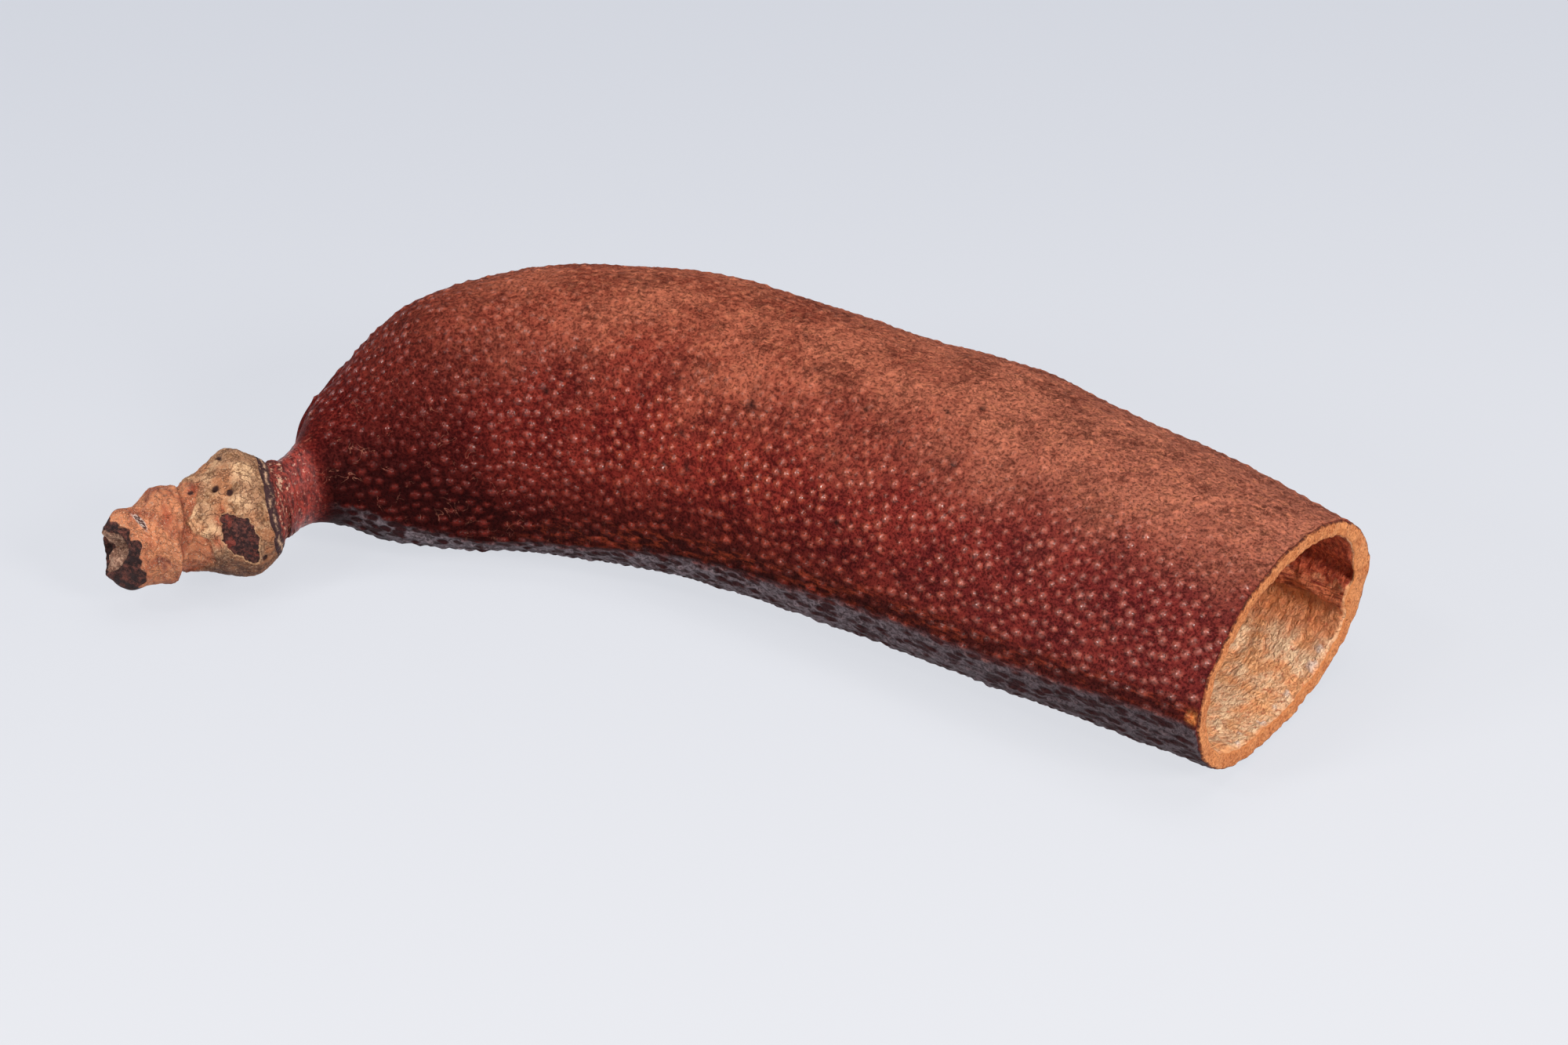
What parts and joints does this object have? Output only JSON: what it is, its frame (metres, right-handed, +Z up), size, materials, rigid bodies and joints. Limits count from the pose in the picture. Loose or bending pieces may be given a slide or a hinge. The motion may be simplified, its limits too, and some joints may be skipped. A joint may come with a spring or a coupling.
{
  "type": "carob pod",
  "caption": "Dry curved carob pod with a pimpled woody skin and a knobbly stalk, lying on its broad side and cut open at one end, hollow inside.",
  "frame": {"origin": "centre of the bounding box at the height of the ground that the pod lies on", "axes": "+Z up; +X along the pod towards its cut mouth; +Y towards the outside of its bend; the stalk is at the -X end"},
  "size_m": [0.1569, 0.0755, 0.0359],
  "materials": {
    "pod_shell": "pimpled red-brown skin, semi-gloss on the sides and dull on top; pale orange woody wall where cut and inside",
    "stalk": "rough dry cork, cream to orange, with dark bark scars"
  },
  "bodies": {
    "root": {"pod_shell": "pod_shell", "stalk": "stalk"}
  },
  "joints": []
}
